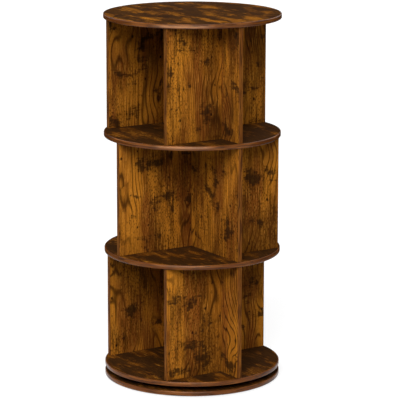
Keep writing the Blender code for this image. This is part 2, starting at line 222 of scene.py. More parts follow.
def scattered_marks(tree, sheet, fibre):
    """Masks of the knots and checks: their spots, their cores and the flow of the grain round them."""
    marks = {}
    for title, (across, along, size, rim, empty) in SPOTS.items():
        scale = (1 / (across * MM), 1 / (along * MM), 1)
        laid = add_node(tree, "ShaderNodeMapping", {}, {"Vector": sheet, "Scale": scale})
        cells = add_node(tree, "ShaderNodeTexVoronoi", {"voronoi_dimensions": "2D"},
                         {"Vector": laid.outputs[0], "Scale": 1})
        chance = add_node(tree, "ShaderNodeSeparateColor", {}, {0: cells.outputs["Color"]})
        held = add_node(tree, "ShaderNodeMath", {"operation": "GREATER_THAN"},
                        {0: chance.outputs[0], 1: empty})
        frayed = cells.outputs["Distance"]
        for fray, depth in ((fibre, rim), (chance.outputs[1], size)):
            frayed = add_node(tree, "ShaderNodeMath", {"operation": "MULTIPLY_ADD"},
                              {0: fray, 1: depth, 2: frayed}).outputs[0]
        parts = {
            "spot": (frayed, size, size + rim),
            "core": (frayed, CORE_SHARE * size, size),
            "flow": (cells.outputs["Distance"], 0, FLOW_REACH),
        }
        for part, (away, full, none) in parts.items():
            near = add_node(tree, "ShaderNodeMapRange", {"interpolation_type": "SMOOTHSTEP"},
                            {"Value": away, **dict(zip(RANGE, (full, none, 1, 0)))})
            marks[title, part] = add_node(tree, "ShaderNodeMath", {"operation": "MULTIPLY"},
                                          {0: near.outputs[0], 1: held.outputs[0]}).outputs[0]
    return marks


print("marks in the print:", list(SPOTS))

# %% [markdown]
# ## Growth lines
# Growth lines are the year rings of the tree, cut lengthwise, so they run along the board in long
# arches and bend round the knots. A wave pattern gives even stripes. Arches are the contours of a slow
# field instead, as on a map: the field counts rings across the board, slow noise and the knots push it,
# and a sine of it peaks once for every ring.

# %% Growth lines
# Spacing of the lines over plain wood, and how many rings each thing pushes the field by.
GROWTH_RING_MM = 14
FIGURE_RINGS = 10
KNOT_RINGS = 1.4
FIBRE_RINGS = 0.18


def growth_lines(tree, sheet, noise, knot_flow):
    """A wave that peaks along each growth line."""
    field = add_node(tree, "ShaderNodeSeparateXYZ", {}, {0: sheet}).outputs["X"]
    field = add_node(tree, "ShaderNodeMath", {"operation": "MULTIPLY"},
                     {0: field, 1: 1 / (GROWTH_RING_MM * MM)}).outputs[0]
    pushes = ((noise["figure"], FIGURE_RINGS), (knot_flow, KNOT_RINGS), (noise["fibre"], FIBRE_RINGS))
    for push, rings in pushes:
        field = add_node(tree, "ShaderNodeMath", {"operation": "MULTIPLY_ADD"},
                         {0: push, 1: rings, 2: field}).outputs[0]
    turn = add_node(tree, "ShaderNodeMath", {"operation": "MULTIPLY"}, {0: field, 1: 2 * math.pi})
    return add_node(tree, "ShaderNodeMath", {"operation": "SINE"}, {0: turn.outputs[0]}).outputs[0]


print("growth lines on plain wood every", GROWTH_RING_MM, "mm")

# %% [markdown]
# ## Inks of the print
# A decor paper is printed ink over ink on a coloured ground, so the layers here follow that order, from
# broad tones to small dark marks. Dividers, top board and shelves are three cuts of one print on
# lighter and darker grounds. The shelves' darkest ground is painted shade: it darkens the same print
# where the shelves and the base lie in shade, inside the tiers and under the bottom shelf. Three
# separate materials could be drawn, but one function with a few settings keeps them alike. The
# melamine film over the print is matt and hardly reflects, and its pressed grain dulls it unevenly.

# %% Inks of the print
# Where the zone noise starts and is full, and the strengths it runs between. Growth lines grow clear as
# close streaks fade.
CLEAR_LINES = (0.44, 0.58, 0.12, 0.82)
CLOSE_STREAKS = (0.40, 0.56, 0.80, 0.25)
# Finer layers of the smudges, how deeply each noise breaks them up, and how soft their rims are.
SMUDGE_LAYERS = (4.0, 0.62)
SMUDGE_GRIT = {"fibre": 0.24, "streak": 0.24, "chatter": 0.14}
SMUDGE_RIM = 0.09
# Most values of a noise lie between these two.
NOISE_SPREAD = (0.3, 0.7)
PRESSED_DEPTH = 0.15 * MM
PRESSED_STRENGTH = 0.35
FILM_ROUGHNESS = (0.70, 0.84)
FILM_SPECULAR = 0.01


def print_inks(tree, ground, inks):
    """Ink over ink on a ground: a mask, where the mask starts and is full, the cover and the colour."""
    colour = linear(ground)
    for mask, start, full, cover, ink in inks:
        amount = add_node(tree, "ShaderNodeMapRange", {},
                          {"Value": mask, **dict(zip(RANGE, (start, full, 0, cover)))})
        colour = add_node(tree, "ShaderNodeMix", {"data_type": "RGBA"},
                          {0: amount.outputs[0], 6: colour, 7: linear(ink)}).outputs[2]
    return colour


def broken_smudges(tree, noise):
    """Smudges broken up along the fibres and across them, as dirt caught in saw marks is."""
    smudge = noise["smudge"]
    for grit, depth in SMUDGE_GRIT.items():
        smudge = add_node(tree, "ShaderNodeMath", {"operation": "MULTIPLY_ADD"},
                          {0: noise[grit], 1: depth, 2: smudge}).outputs[0]
    return smudge


def decor_paper(name, ground, amber, smudge_mm, smudge_from):
    """Melamine decor print on two grounds. Smudges cover it where their noise is above smudge_from."""
    material, tree, shader = new_material(name, sum(FILM_ROUGHNESS) / 2)
    sheet = add_node(tree, "ShaderNodeUVMap", {"uv_map": GRAIN_MAP}, {}).outputs["UV"]
    sizes = {**DECOR_NOISE, "smudge": (*smudge_mm, *SMUDGE_LAYERS)}
    noise = {title: printed_pattern(tree, sheet, *size) for title, size in sizes.items()}
    marks = scattered_marks(tree, sheet, noise["fibre"])
    line = growth_lines(tree, sheet, noise, marks["knot", "flow"])
    clear = add_node(tree, "ShaderNodeMapRange", {},
                     {"Value": noise["zone"], **dict(zip(RANGE, CLEAR_LINES))}).outputs[0]
    close = add_node(tree, "ShaderNodeMapRange", {},
                     {"Value": noise["zone"], **dict(zip(RANGE, CLOSE_STREAKS))}).outputs[0]
    smudge = broken_smudges(tree, noise)
    # A noise is a half on average, so the grit lifts the smudges by half its depths.
    smudge_start = smudge_from + sum(SMUDGE_GRIT.values()) / 2
    colour = print_inks(tree, ground, (
        (noise["tone"], 0.38, 0.58, 0.90, amber),
        (noise["shade"], 0.50, 0.68, 0.70, "#4A280C"),
        (noise["streak"], 0.46, 0.60, close, "#4B2A08"),
        (noise["fibre"], 0.52, 0.70, 0.64, "#C4822F"),
        (noise["pore"], 0.50, 0.65, close, "#43260A"),
        (line, 0.45, 1.0, clear, "#2F1806"),
        (smudge, smudge_start, smudge_start + SMUDGE_RIM, 0.87, "#2C1A0B"),
        (marks["knot", "spot"], 0.0, 1.0, 0.88, "#231207"),
        (marks["knot", "core"], 0.0, 1.0, 0.75, "#5E3010"),
        (marks["check", "spot"], 0.0, 1.0, 0.90, "#150D07"),
    ))
    pressed = add_node(tree, "ShaderNodeBump", {},
                       {"Strength": PRESSED_STRENGTH, "Distance": PRESSED_DEPTH, "Height": noise["fibre"]})
    dull = add_node(tree, "ShaderNodeMapRange", {},
                    {"Value": noise["fibre"], **dict(zip(RANGE, (*NOISE_SPREAD, *FILM_ROUGHNESS)))})
    tree.links.new(colour, shader.inputs["Base Color"])
    tree.links.new(pressed.outputs[0], shader.inputs["Normal"])
    tree.links.new(dull.outputs[0], shader.inputs["Roughness"])
    shader.inputs["Specular IOR Level"].default_value = FILM_SPECULAR
    return material


# Amber wood with broad, rather sparse smudges.
divider_decor = decor_paper("melamine_decor_dividers", "#7C4516", "#BA7520", (76, 54), 0.585)
# Browner wood with long dark smudges that cover more than half of it.
top_decor = decor_paper("melamine_decor_top", "#522E0B", "#965B14", (52, 112), 0.41)
# The same as the top board's on the darkest ground: painted shade for the shelves and the base,
# which lie in shade inside the tiers and in the swivel gap.
shaded_shelf_decor = decor_paper("melamine_decor_shelves_painted_shade", "#47260A", "#70400F", (52, 112), 0.40)
print("decor papers:", divider_decor.name, top_decor.name, shaded_shelf_decor.name)

# %% [markdown]
# ## Edge banding
# The cut edges of the chipboard are covered by a plastic band, printed to match but redder than the
# faces, and glossier because it isn't pressed with a grain. Its print is fine streaks along the band. A
# plain brown would look like paint, so the same stretched noise gives the streaks, with its long side
# along the band.

# %% Edge banding
# Width and length in mm, and layers. Real streaks are finer. They are drawn coarser, or they wouldn't show.
BAND_PATCH = (8, 90, 2.0, 0.5)
BAND_STREAK = (3.2, 60, 3.0, 0.65)


def edge_band_plastic(name, ground, patch, roughness, specular):
    """ABS edge band with a streaky brown print, between two roughnesses."""
    material, tree, shader = new_material(name, roughness[0])
    sheet = add_node(tree, "ShaderNodeUVMap", {"uv_map": GRAIN_MAP}, {}).outputs["UV"]
    patches = printed_pattern(tree, sheet, *BAND_PATCH)
    streaks = printed_pattern(tree, sheet, *BAND_STREAK)
    colour = print_inks(tree, ground, (
        (patches, 0.40, 0.68, 0.80, patch),
        (streaks, 0.46, 0.62, 0.85, "#351A08"),
    ))
    dull = add_node(tree, "ShaderNodeMapRange", {},
                    {"Value": streaks, **dict(zip(RANGE, (*NOISE_SPREAD, *roughness)))})
    tree.links.new(colour, shader.inputs["Base Color"])
    tree.links.new(dull.outputs[0], shader.inputs["Roughness"])
    shader.inputs["Specular IOR Level"].default_value = specular
    return material


# The thick band round a board is smooth enough to carry a long highlight.
band_plastic = edge_band_plastic("abs_edge_band", "#643614", "#88511F", (0.22, 0.32), 0.15)
# The thin strip on a divider is duller, and shows little but its print.
strip_plastic = edge_band_plastic("abs_edge_strip", "#6B3D14", "#8E581E", (0.45, 0.60), 0.05)
print("edge bands:", band_plastic.name, strip_plastic.name)

# %% [markdown]
# ## Chipboard, beech, metal and rubber
# The rest is seen only in the cam pockets, under the base and in the swivel gap. Each of these
# materials could be one flat colour, but even a plain surface wanders a little in tone, in gloss and in
# height, at the size of its flakes, tool marks or casting skin. One function makes them all from those
# few facts. Turned metal has its marks in rings round the axis, so there the noise follows radius and
# height alone.

# %% Chipboard, beech, metal and rubber
FLECK_LAYERS = {"Detail": 4, "Roughness": 0.6}
FLECK_SPREAD = (0.35, 0.65)
RELIEF_STRENGTH = 0.5


def mottled(name, tones, grain_mm, roughness, metallic, bump_mm, lathe_marks=False):
    """A material that wanders between two tones, with matching roughness and relief."""
    material, tree, shader = new_material(name, roughness[0], metallic)
    place = add_node(tree, "ShaderNodeTexCoord", {}, {}).outputs["Object"]
    settings, at = {}, {"Vector": place}
    if lathe_marks:
        flat = add_node(tree, "ShaderNodeVectorMath", {"operation": "MULTIPLY"}, {0: place, 1: (1, 1, 0)})
        radius = add_node(tree, "ShaderNodeVectorMath", {"operation": "LENGTH"}, {0: flat.outputs[0]})
        height = add_node(tree, "ShaderNodeSeparateXYZ", {}, {0: place})
        across = add_node(tree, "ShaderNodeMath", {}, {0: radius.outputs["Value"], 1: height.outputs["Z"]})
        settings, at = {"noise_dimensions": "1D"}, {"W": across.outputs[0]}
    texture = add_node(tree, "ShaderNodeTexNoise", settings,
                       {**at, "Scale": 1 / (grain_mm * MM), **FLECK_LAYERS})
    amount = add_node(tree, "ShaderNodeMapRange", {},
                      {"Value": texture.outputs[0], **dict(zip(RANGE, (*FLECK_SPREAD, 0, 1)))})
    colour = add_node(tree, "ShaderNodeMix", {"data_type": "RGBA"},
                      {0: amount.outputs[0], 6: linear(tones[0]), 7: linear(tones[1])})
    dull = add_node(tree, "ShaderNodeMapRange", {},
                    {"Value": amount.outputs[0], **dict(zip(RANGE, (0, 1, *roughness)))})
    relief = add_node(tree, "ShaderNodeBump", {},
                      {"Strength": RELIEF_STRENGTH, "Distance": bump_mm * MM, "Height": texture.outputs[0]})
    tree.links.new(colour.outputs[2], shader.inputs["Base Color"])
    tree.links.new(dull.outputs[0], shader.inputs["Roughness"])
    tree.links.new(relief.outputs[0], shader.inputs["Normal"])
    return material


# Pressed flakes, bored through: pale, fibrous and quite matt.
chipboard = mottled("bare_chipboard", ("#8F7350", "#C2A679"), 2.5, (0.8, 0.95), 0.0, 0.3)
# Close-grained pale wood, rolled smooth: a low sheen.
beech = mottled("ribbed_beech", ("#BF9762", "#D9B481"), 1.8, (0.55, 0.70), 0.0, 0.05)
# Turned on a lathe: pale metal with fine rings that draw out its highlights.
aluminium = mottled("turned_aluminium", ("#B9BBBD", "#CDCFD0"), 0.8, (0.28, 0.40), 1.0, 0.01,
                    lathe_marks=True)
# Rolled and pressed strip: a darker grey, smooth and even.
cage_steel = mottled("pressed_steel", ("#8F9091", "#A9AAAB"), 3.0, (0.25, 0.38), 1.0, 0.02)
# Thin bright plating: light grey with a warm cast and soft highlights.
zinc_plate = mottled("bright_zinc_plate", ("#A9ABA6", "#C4C5BE"), 1.2, (0.28, 0.42), 1.0, 0.02)
# Cast in a mould: a duller blue grey with a faint skin.
cast_zinc = mottled("die_cast_zinc", ("#8A8C90", "#9A9C9F"), 0.8, (0.40, 0.48), 1.0, 0.03)
# Ground and polished: sharp reflections.
ball_steel = mottled("polished_ball_steel", ("#A6A7A9", "#B7B8BA"), 2.0, (0.08, 0.14), 1.0, 0.005)
# Moulded in a textured form: almost black and matt.
rubber = mottled("moulded_rubber", ("#17171A", "#232326"), 0.9, (0.65, 0.85), 0.0, 0.05)
others = (chipboard, beech, aluminium, cage_steel, zinc_plate, cast_zinc, ball_steel, rubber)
print("other materials:", [material.name for material in others])

# %% [markdown]
# ## Working in edit mode
# Operators act on whatever is selected, so each piece starts from an empty selection, and faces, edges
# or points are picked in code by where they are. When a piece is done its place is pressed into its
# mesh, it is shaded smooth but for its sharp corners, it is hung on the body that carries it, and the
# part of the frame it stands for is hidden.

# %% Helpers for modelling
CORNER = math.radians(35)
MERGE = 0.005 * MM


def start_clean():
    """Leave edit mode and select nothing."""
    if bpy.context.object and bpy.context.object.mode != "OBJECT":
        bpy.ops.object.mode_set(mode="OBJECT")
    bpy.ops.object.select_all(action="DESELECT")


def select_only(piece):
    """Select one piece and make it the active one."""
    start_clean()
    piece.select_set(True)
    bpy.context.view_layer.objects.active = piece


def pick(piece, kind, wanted):
    """In edit mode, select the points, edges or faces that are wanted."""
    bpy.ops.mesh.select_mode(type=kind)
    bpy.ops.mesh.select_all(action="DESELECT")
    shape = bmesh.from_edit_mesh(piece.data)
    items = {"VERT": shape.verts, "EDGE": shape.edges, "FACE": shape.faces}[kind]
    for item in items:
        if wanted(item):
            item.select_set(True)
    shape.select_flush_mode()
    bmesh.update_edit_mesh(piece.data)


def close_shape():
    """In edit mode, merge doubled points, turn every face outwards, and leave edit mode."""
    bpy.ops.mesh.select_all(action="SELECT")
    bpy.ops.mesh.remove_doubles(threshold=MERGE)
    bpy.ops.mesh.normals_make_consistent(inside=False)
    bpy.ops.object.mode_set(mode="OBJECT")


def finish_piece(piece, name, material, body, slot, *nodes):
    """Press the place into the mesh, smooth it, hang it on its body, and hide the parts it stands for."""
    select_only(piece)
    bpy.ops.object.transform_apply()
    bpy.ops.object.shade_smooth_by_angle(angle=CORNER)
    piece.name = name
    piece.data.name = name
    if not piece.data.materials:
        piece.data.materials.append(material)
    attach(piece, body)
    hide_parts(*nodes)


def body_of(node):
    """The body that carries a node of the frame."""
    return next(body for body, nodes in frame["record"]["behaviour"]["bodies"].items() if node in nodes)


def nodes_with(words):
    """The frame's nodes whose names hold these words, each with the middle of its box."""
    return {node: sum(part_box(node), Vector()) / 2 for node in frame["nodes"] if words in node}


# %% [markdown]
# ## Discs of the boards
# Each board is a disc of faced chipboard with a plastic band round its edge. A cylinder could stand for
# both, but disc and band are separate on the real board and have their own print. The disc is a filled
# circle drawn up to its thickness, with rings of edges let into its faces, and the printed sheet is
# laid flat on it.

# %% Discs of the boards
ROUND_STEPS = 192
# How much a normal has to point along an axis to count as facing that way.
FACING = 0.9
# Widths of the rings that are let into a disc's faces, as shares of its radius.
RING_SHARES = (0.175, 0.25)


def faced_disc(bottom, top, radius):
    """A round panel: a filled circle drawn upwards, with rings of edges let into both faces."""
    start_clean()
    bpy.ops.mesh.primitive_circle_add(
        vertices=ROUND_STEPS, radius=radius, fill_type="NGON", location=(0, 0, bottom))
    disc = bpy.context.object
    bpy.ops.object.mode_set(mode="EDIT")
    bpy.ops.mesh.select_all(action="SELECT")
    bpy.ops.mesh.extrude_region_move(TRANSFORM_OT_translate={"value": (0, 0, top - bottom)})
    pick(disc, "FACE", lambda face: abs(face.normal.z) > FACING)
    for share in RING_SHARES:
        bpy.ops.mesh.inset(thickness=radius * share, use_even_offset=False)
    close_shape()
    return disc


def lay_flat(piece, across, along, start):
    """Lay the printed sheet on a flat piece, in metres: U across the grain, V along it."""
    layer = piece.data.uv_layers.new(name=GRAIN_MAP)
    piece.data.uv_layers.active = layer
    for loop in piece.data.loops:
        at = piece.data.vertices[loop.vertex_index].co
        layer.data[loop.index].uv = (at.dot(across) + start[0], at.dot(along) + start[1])


print("discs have", ROUND_STEPS, "sides")

# %% [markdown]
# ## Bands of the boards
# The band has rounded corners, and those catch the light along every shelf. A bevel on the disc could
# round them, but then band and face would share one surface. So the band is a small upright rectangle
# with its two outer corners rounded, spun right round the axis. Its print runs along it, and its joint
# is at the back.

# %% Bands of the boards
BAND_THICKNESS = 2.6 * MM
BAND_CORNER = 2.2 * MM
CORNER_STEPS = 4
BAND_JOINT = CAMERA_BEARING + math.pi / 2


def banded_edge(bottom, top, radius):
    """An edge band: an upright rectangle with rounded outer corners, spun round the axis."""
    start_clean()
    middle = (radius - BAND_THICKNESS / 2, 0, (bottom + top) / 2)
    bpy.ops.mesh.primitive_plane_add(size=1, location=middle, rotation=(math.pi / 2, 0, 0))
    band = bpy.context.object
    band.scale = (BAND_THICKNESS, top - bottom, 1)
    bpy.ops.object.transform_apply()
    bpy.ops.object.mode_set(mode="EDIT")
    pick(band, "VERT", lambda point: point.co.x > middle[0])
    bpy.ops.mesh.bevel(offset=BAND_CORNER, segments=CORNER_STEPS, affect="VERTICES")
    bpy.ops.mesh.select_all(action="SELECT")
    bpy.ops.mesh.delete(type="ONLY_FACE")
    bpy.ops.mesh.select_all(action="SELECT")
    bpy.ops.mesh.spin(steps=ROUND_STEPS, angle=2 * math.pi, center=(0, 0, 0), axis=(0, 0, 1))
    close_shape()
    return band


def wrap_round(piece, radius, start):
    """Lay the printed sheet round a band from its joint: U up its width, V along its length."""
    layer = piece.data.uv_layers.new(name=GRAIN_MAP)
    piece.data.uv_layers.active = layer
    for face in piece.data.polygons:
        middle = (math.atan2(face.center.y, face.center.x) - BAND_JOINT) % (2 * math.pi)
        for index in face.loop_indices:
            at = piece.data.vertices[piece.data.loops[index].vertex_index].co
            turn = math.atan2(at.y, at.x) - BAND_JOINT - middle
            turn = (turn + math.pi) % (2 * math.pi) - math.pi
            width = at.z + radius - math.hypot(at.x, at.y)
            layer.data[index].uv = (width + start, (middle + turn) * radius)


print("bands are", round(BAND_THICKNESS / MM, 1), "mm thick")

# %% [markdown]
# ## Round boards
# Five boards of one diameter: the base, and four that turn. One could be made and copied, but each is
# cut from another place on the printed sheet, as in a workshop. So a loop makes all five at the sizes
# of the frame.

# %% Round boards
BOARDS = ("base_board", "bottom_shelf", "lower_shelf", "upper_shelf", "top_board")
# Metres across and along the grain from one cut of the sheet to the next, and to the top board's middle.
SHEET_STEP = Vector((0.61, 0.83))
TOP_CUT = Vector((1.07, 1.25))

for number, node in enumerate(BOARDS):
    low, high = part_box(node)
    disc = faced_disc(low.z, high.z, high.x - BAND_THICKNESS)
    # The base and the shelves get the darker copy of the print, which paints the shade that falls on them.
    decor, cut = shaded_shelf_decor, SHEET_STEP * number
    if node == "top_board":
        decor, cut = top_decor, TOP_CUT
    lay_flat(disc, Vector((1, 0, 0)), Vector((0, 1, 0)), cut)
    finish_piece(disc, f"{node}_panel", decor, body_of(node), "rustic_board", node)
    band = banded_edge(low.z, high.z, high.x)
    wrap_round(band, high.x, number)
    finish_piece(band, f"{node}_edge_band", band_plastic, body_of(node), "rustic_board", node)
    print(node, "disc faces:", len(disc.data.polygons), "band faces:", len(band.data.polygons))

# %% [markdown]
# ## Panels and strips
# A divider is a rectangle of the same faced chipboard, with its grain upright and a thin strip on each
# edge that shows. A bare cube would have knife edges, and a sawn and trimmed panel has none. So the
# panel is a cube brought to size with every arris just eased, and the strip is another with its two
# outer corners rounded.

# %% Panels and strips
STRIP_THICKNESS = 1.0 * MM
STRIP_CORNER = 0.6 * MM
ARRIS = 0.3 * MM
ARRIS_STEPS = 2


def sized_box(low, high):
    """A cube brought to a box's size and place."""
    start_clean()
    bpy.ops.mesh.primitive_cube_add(size=1, location=(low + high) / 2)
    box = bpy.context.object
    box.scale = high - low
    bpy.ops.object.transform_apply()
    return box


def eased_panel(low, high):
    """A panel with every arris eased."""
    panel = sized_box(low, high)
    bpy.ops.object.mode_set(mode="EDIT")
    bpy.ops.mesh.select_all(action="SELECT")
    bpy.ops.mesh.bevel(offset=ARRIS, segments=ARRIS_STEPS)
    close_shape()
    return panel


def edge_strip(low, high, axis, outward):
    """A thin strip on an upright edge, its two outer corners rounded."""
    strip = sized_box(low, high)
    face_at = high[axis] if outward > 0 else low[axis]
    bpy.ops.object.mode_set(mode="EDIT")
    pick(strip, "EDGE", lambda edge: abs(edge.verts[0].co.z - edge.verts[1].co.z) > MERGE
         and all(abs(point.co[axis] - face_at) < MERGE for point in edge.verts))
    bpy.ops.mesh.bevel(offset=STRIP_CORNER, segments=CORNER_STEPS)
    close_shape()
    return strip


def split_off(low, high, axis, outward):
    """The box of the strip at one end of a panel. The panel's own box shrinks by as much."""
    strip_low, strip_high = low.copy(), high.copy()
    if outward > 0:
        high[axis] -= STRIP_THICKNESS
        strip_low[axis] = high[axis]
    else:
        low[axis] += STRIP_THICKNESS
        strip_high[axis] = low[axis]
    return strip_low, strip_high


print("strips are", round(STRIP_THICKNESS / MM, 1), "mm thick")

# %% [markdown]
# ## Cam pockets
# Each main divider has four round pockets that take its cam locks, and from the nearer edge a bore
# leads to each for the bolt. They could be drawn into the panel's mesh, but a Boolean with a cylinder
# works as a drill does, and the cylinder's own material becomes the bare chipboard inside the hole.

# %% Cam pockets
FIT_GAP = 0.3 * MM
BOLT_BORE_RADIUS = 3.3 * MM
BORE_STEPS = 48


def carve(piece, tool, operation):
    """Cut a tool's shape out of a piece, or join it on, and take the tool away."""
    select_only(piece)
    work = piece.modifiers.new("work", "BOOLEAN")
    work.operation = operation
    work.object = tool
    work.solver = "EXACT"
    work.material_mode = "TRANSFER" if tool.data.materials else "INDEX"
    bpy.ops.object.modifier_apply(modifier=work.name)
    bpy.data.objects.remove(tool, do_unlink=True)


def bore_pockets(panel, edges, cams):
    """Bore a pocket for each cam, open on its +X side, and the way to it from the panel's nearer edge."""
    for cam in cams:
        low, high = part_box(cam)
        middle = (low + high) / 2
        depth = 2 * (high.x - low.x)
        edge = min(edges, key=lambda height: abs(height - middle.z))
        pocket_at = (low.x - FIT_GAP + depth / 2, middle.y, middle.z)
        bores = (
            (pocket_at, (high.z - low.z) / 2 + FIT_GAP, depth, math.pi / 2),
            ((0, middle.y, edge), BOLT_BORE_RADIUS, 2 * abs(middle.z - edge), 0),
        )
        for place, radius, length, turn in bores:
            start_clean()
            bpy.ops.mesh.primitive_cylinder_add(
                vertices=BORE_STEPS, radius=radius, depth=length, location=place, rotation=(0, turn, 0))
            bit = bpy.context.object
            bit.data.materials.append(chipboard)
            carve(panel, bit, "DIFFERENCE")


print("cam pockets:", len(nodes_with("cam_lock")))

# %% [markdown]
# ## Dividers
# Twelve dividers stand in three tiers: one right across, one half as long and two short ones in each.
# Copies of four would do for the shapes, but not for the print. So each is made in its place, with its
# own cut of the sheet, and a hair shorter than the tier so that it meets the boards in a fine line.

# %% Dividers
# Where the panels that face the viewer are cut from the sheet: metres across and along the grain to their
# lower corner. The others follow one another by SHEET_STEP.
CUT_FROM = {
    "top_short_front_divider": (0.694, 0.275),
    "middle_half_divider": (0.862, 0.219),
    "middle_main_divider": (0.000, 0.731),
    "middle_short_front_divider": (0.094, 0.475),
    "bottom_short_front_divider": (0.469, 0.156),
}
DIVIDER_KINDS = ("main", "half", "short_front", "short_back")
TIERS = (
    ("bottom", "bottom_shelf", "lower_shelf"),
    ("middle", "lower_shelf", "upper_shelf"),
    ("top", "upper_shelf", "top_board"),
)
STRIP_NAMES = {("main", -1): "front", ("main", 1): "back"}
ACROSS = Vector((1, 1, 0))
UP = Vector((0, 0, 1))

cuts = itertools.count(1)
for tier, board_below, board_above in TIERS:
    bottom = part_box(board_below)[1].z + FIT_GAP
    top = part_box(board_above)[0].z - FIT_GAP
    for kind in DIVIDER_KINDS:
        node = f"{tier}_{kind}_divider"
        low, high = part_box(node)
        low.z, high.z = bottom, top
        axis, ends = 0, (1 if high.x > -low.x else -1,)
        if kind == "main":
            axis, ends = 1, (-1, 1)
        for end in ends:
            strip = edge_strip(*split_off(low, high, axis, end), axis, end)
            lay_flat(strip, ACROSS, UP, SHEET_STEP * next(cuts))
            label = STRIP_NAMES.get((kind, end), "outer")
            finish_piece(strip, f"{node}_{label}_strip", strip_plastic, "carousel", "rustic_divider", node)
        panel = eased_panel(low, high)
        panel.data.materials.append(divider_decor)
        if kind == "main":
            bore_pockets(panel, (bottom, top), nodes_with(f"{tier}_cam_lock"))
        start = SHEET_STEP * next(cuts)
        if node in CUT_FROM:
            start = Vector(CUT_FROM[node]) - Vector((low.x + low.y, low.z))
        lay_flat(panel, ACROSS, UP, start)
        finish_piece(panel, f"{node}_panel", divider_decor, "carousel", "rustic_divider", node)
    print(tier, "tier dividers from", round(bottom * 1000, 1), "to", round(top * 1000, 1), "mm")

# %% [markdown]
# ## Dowels
# Each divider stands on two beech dowels at its lower edge and has two more at its upper one. They are
# never seen, but the real ones keep every panel in line. Plain pegs would do, but a real dowel is
# fluted to let the glue out and pointed to find its hole: every fourth point of a circle is drawn in,
# the circle is drawn up, and each end is drawn out and made smaller.

# %% Dowels
DOWEL_RADIUS = 4.0 * MM
DOWEL_LENGTH = 24 * MM
DOWEL_POINT = 1.2 * MM
DOWEL_POINT_SHARE = 0.8
FLUTES = 12
FLUTE_POINTS = 4
FLUTE_SHARE = 0.93


def fluted_dowel():
    """A dowel that stands on the origin, fluted and with both ends pointed."""
    start_clean()
    bpy.ops.mesh.primitive_circle_add(
        vertices=FLUTE_POINTS * FLUTES, radius=DOWEL_RADIUS, fill_type="NGON", location=(0, 0, DOWEL_POINT))
    dowel = bpy.context.object
    bpy.ops.object.transform_apply()
    bpy.ops.object.mode_set(mode="EDIT")
    pick(dowel, "VERT", lambda point: point.index % FLUTE_POINTS == 0)
    bpy.ops.transform.resize(value=(FLUTE_SHARE, FLUTE_SHARE, 1), center_override=(0, 0, 0))
    bpy.ops.mesh.select_all(action="SELECT")
    bpy.ops.mesh.extrude_region_move(
        TRANSFORM_OT_translate={"value": (0, 0, DOWEL_LENGTH - 2 * DOWEL_POINT)})
    for way, end in ((-1, 0), (1, DOWEL_LENGTH)):
        pick(dowel, "FACE", lambda face: abs(face.calc_center_median().z - end) < DOWEL_POINT + MERGE)
        bpy.ops.mesh.extrude_region_move(TRANSFORM_OT_translate={"value": (0, 0, way * DOWEL_POINT)})
        bpy.ops.transform.resize(
            value=(DOWEL_POINT_SHARE, DOWEL_POINT_SHARE, 1), center_override=(0, 0, end))
    close_shape()
    return dowel


dowel = fluted_dowel()
print("faces of a dowel:", len(dowel.data.polygons))

# %% [markdown]
# ## Setting the dowels
# The dowels are glued into the dividers and into blind holes in the boards. The holes could be left
# out, since the dowels fill them, but then the pieces would overlap, and no joint works like that. All
# the bits for one panel are joined first, so that each panel is cut only once. The boards' holes are
# kept until theirs are all known.

# %% Setting the dowels
# How far dowels stand from a panel's ends. Those of the middle main divider stand further in, or they would
# meet the ones from the tiers above and below.
DOWEL_INSET = 35 * MM
DOWEL_STAGGER = 15 * MM
DRILL_STEPS = 24


def copy_to(piece, place, turn=0.0):
    """A copy with its own mesh, turned about X and put in its place."""
    select_only(piece)
    bpy.ops.object.duplicate(linked=False)
    copy = bpy.context.object
    copy.rotation_euler.x = turn
    copy.location = place
    return copy


def joined(pieces):
    """Several pieces as one."""
    select_only(pieces[0])
    for piece in pieces:
        piece.select_set(True)
    bpy.ops.object.join()
    return pieces[0]


def dowel_places(node):
    """Where a divider's dowels stand in plan."""
    low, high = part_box(node)
    middle = (low + high) / 2
    if "main" in node:
        stand = high.y - DOWEL_INSET - (DOWEL_STAGGER if node.startswith("middle") else 0)
        return [(middle.x, -stand), (middle.x, stand)]
    return [(low.x + DOWEL_INSET, middle.y), (high.x - DOWEL_INSET, middle.y)]


def drill(panel, holes):
    """Drill upright holes in a panel: each a place in plan, a radius, and the heights it runs between."""
    bits = []
    for (x, y), radius, bottom, top in holes:
        start_clean()
        bpy.ops.mesh.primitive_cylinder_add(
            vertices=DRILL_STEPS, radius=radius, depth=top - bottom, location=(x, y, (bottom + top) / 2))
        bits.append(bpy.context.object)
    bit = joined(bits)
    bit.data.materials.append(chipboard)
    carve(panel, bit, "DIFFERENCE")


board_holes = {board: [] for board in BOARDS}
for tier, board_below, board_above in TIERS:
    for kind in DIVIDER_KINDS:
        node = f"{tier}_{kind}_divider"
        lower_tip, upper_tip = (corner.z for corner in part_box(node))
        pegs, holes = [], []
        for place in dowel_places(node):
            for board, bottom in ((board_below, lower_tip), (board_above, upper_tip - DOWEL_LENGTH)):
                hole = (place, DOWEL_RADIUS + FIT_GAP, bottom - FIT_GAP, bottom + DOWEL_LENGTH + FIT_GAP)
                pegs.append(copy_to(dowel, (*place, bottom)))
                holes.append(hole)
                board_holes[board].append(hole)
        drill(bpy.data.objects[f"{node}_panel"], holes)
        finish_piece(joined(pegs), f"{node}_dowels", beech, "carousel", "rustic_divider", node)
bpy.data.objects.remove(dowel, do_unlink=True)
print("dowels:", sum(len(holes) for holes in board_holes.values()))

# %% [markdown]
# ## Turning
# Screws, bearing rings, balls and glides are all round about an axis, because the real ones are turned,
# rolled or pressed round. Stacked cylinders could stand for them, but drawing half the outline and
# spinning it follows how they are made.

# %% Turning
FINE_STEPS = 48


